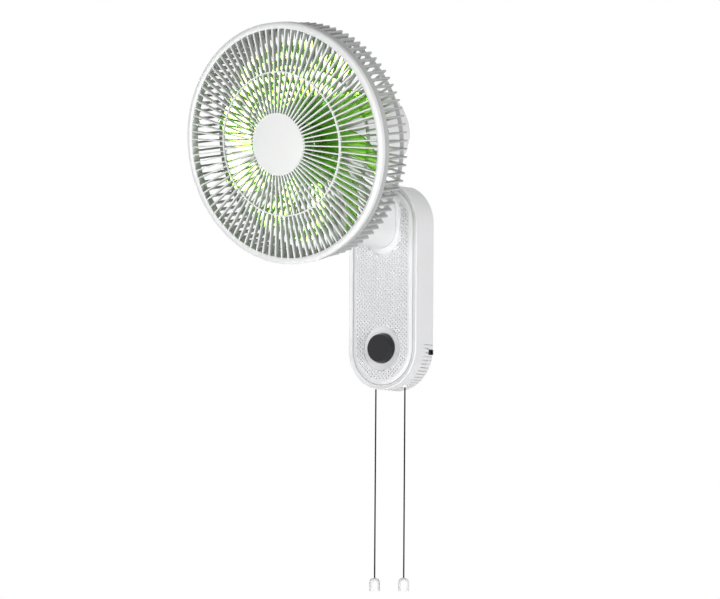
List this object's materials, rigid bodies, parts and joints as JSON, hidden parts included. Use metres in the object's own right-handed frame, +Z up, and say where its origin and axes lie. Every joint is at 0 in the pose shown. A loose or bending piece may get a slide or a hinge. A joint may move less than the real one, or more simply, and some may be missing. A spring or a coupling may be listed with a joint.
{
  "type": "wall mounted fan",
  "caption": "Wall mounted fan with a long oval base, a timer knob, pull cords and a tilting, oscillating round guarded head.",
  "frame": {"origin": "on the wall, at the centre of the four wall screws", "axes": "+Z up, +Y into the wall, +X to the right of someone facing the fan"},
  "size_m": [0.33, 0.3057, 0.7738],
  "materials": {
    "case": "white moulded plastic, satin gloss",
    "front_plate": "very pale grey plastic with a field of fine dimples",
    "guard": "white moulded plastic, satin gloss",
    "rear_guard": "light grey moulded plastic",
    "badge": "plain white cap",
    "blades": "translucent lime green",
    "knob": "black, polished",
    "black_plastic": "black moulded",
    "bell": "white plastic",
    "cord": "black braided cord",
    "housing": "smooth white plastic",
    "zinc_steel": "zinc plated",
    "black_steel": "black screws",
    "cast": "die cast",
    "laminations": "stacked sheet steel",
    "windings": "enamelled copper",
    "bronze": "sintered bronze",
    "nylon": "natural nylon"
  },
  "bodies": {
    "base": {"wall_bracket": "zinc_steel", "back_plate": "case", "base_housing": "case", "case_screws": "black_steel", "front_plate": "front_plate", "mains_gland": "black_plastic", "timer_unit": "nylon", "cord_bushes": "bell", "terminal_block": "nylon", "run_capacitor": "black_plastic", "neck": "case", "neck_screws": "zinc_steel", "tilt_bolt": "zinc_steel", "tilt_nut": "zinc_steel", "speed_switch": "black_plastic", "swing_switch": "black_plastic"},
    "timer_knob": {"knob": "knob", "timer_shaft": "nylon"},
    "speed_pull": {"speed_plunger": "black_plastic", "speed_spring": "black_steel", "speed_cord": "cord", "speed_bell": "bell"},
    "swing_pull": {"swing_plunger": "black_plastic", "swing_spring": "black_steel", "swing_cord": "cord", "swing_bell": "bell"},
    "yoke": {"tilt_yoke": "cast", "pan_spindle": "zinc_steel", "osc_rocker": "zinc_steel", "spindle_clip": "black_steel"},
    "head": {"osc_motor": "zinc_steel", "osc_motor_screws": "zinc_steel", "head_chassis": "cast", "pan_bush": "bronze", "front_end_frame": "cast", "rear_end_frame": "cast", "stator_core": "laminations", "stator_coils": "windings", "through_bolts": "zinc_steel", "front_bearing": "bronze", "rear_bearing": "bronze", "motor_front_housing": "housing", "motor_rear_housing": "housing", "cover_screws": "black_steel", "front_grille": "guard", "badge_cap": "badge", "rear_grille": "rear_guard", "guard_screws": "black_steel", "guard_nut": "black_plastic"},
    "rotating": {"motor_shaft": "zinc_steel", "rotor": "laminations", "impeller": "blades", "spinner_nut": "black_plastic"},
    "drive_crank": {"osc_crank": "nylon"},
    "drive_link": {"osc_link": "zinc_steel"}
  },
  "joints": [
    {"name": "tilt", "type": "hinge", "parent": "base", "child": "yoke", "pos_m": [0, -0.115, 0.125], "axis": [1, 0, 0], "range_deg": [-12, 20]},
    {"name": "oscillate", "type": "hinge", "parent": "yoke", "child": "head", "pos_m": [0, -0.115, 0.125], "axis": [0, -0.1788, 0.9839], "range_deg": [-40, 40]},
    {"name": "spin", "type": "hinge", "parent": "head", "child": "rotating", "pos_m": [0, -0.23753, 0.18404], "axis": [0, -0.9839, -0.1788], "continuous": true},
    {"name": "timer_turn", "type": "hinge", "parent": "base", "child": "timer_knob", "pos_m": [0, -0.051, -0.0875], "axis": [0, 1, 0], "range_deg": [0, 300]},
    {"name": "speed_pull_travel", "type": "slide", "parent": "base", "child": "speed_pull", "axis": [0, 0, -1], "range_m": [0, 0.009], "stiffness_N_per_m": 400, "springref_m": -0.004, "deforming": ["speed_spring"]},
    {"name": "swing_pull_travel", "type": "slide", "parent": "base", "child": "swing_pull", "axis": [0, 0, -1], "range_m": [0, 0.009], "stiffness_N_per_m": 400, "springref_m": -0.004, "deforming": ["swing_spring"]},
    {"name": "crank_turn", "type": "hinge", "parent": "head", "child": "drive_crank", "pos_m": [0, -0.08836, 0.17416], "axis": [0, -0.1788, 0.9839], "range_deg": [-90.5, 90.5]},
    {"name": "link_turn", "type": "hinge", "parent": "drive_crank", "child": "drive_link", "pos_m": [0.009, -0.08793, 0.17179], "axis": [0, -0.1788, 0.9839], "range_deg": [-90.5, 90.5]}
  ],
  "couplings": [
    {"joint": "crank_turn", "follows": "oscillate", "ratio": -2.25},
    {"joint": "link_turn", "follows": "oscillate", "ratio": 2.25}
  ]
}
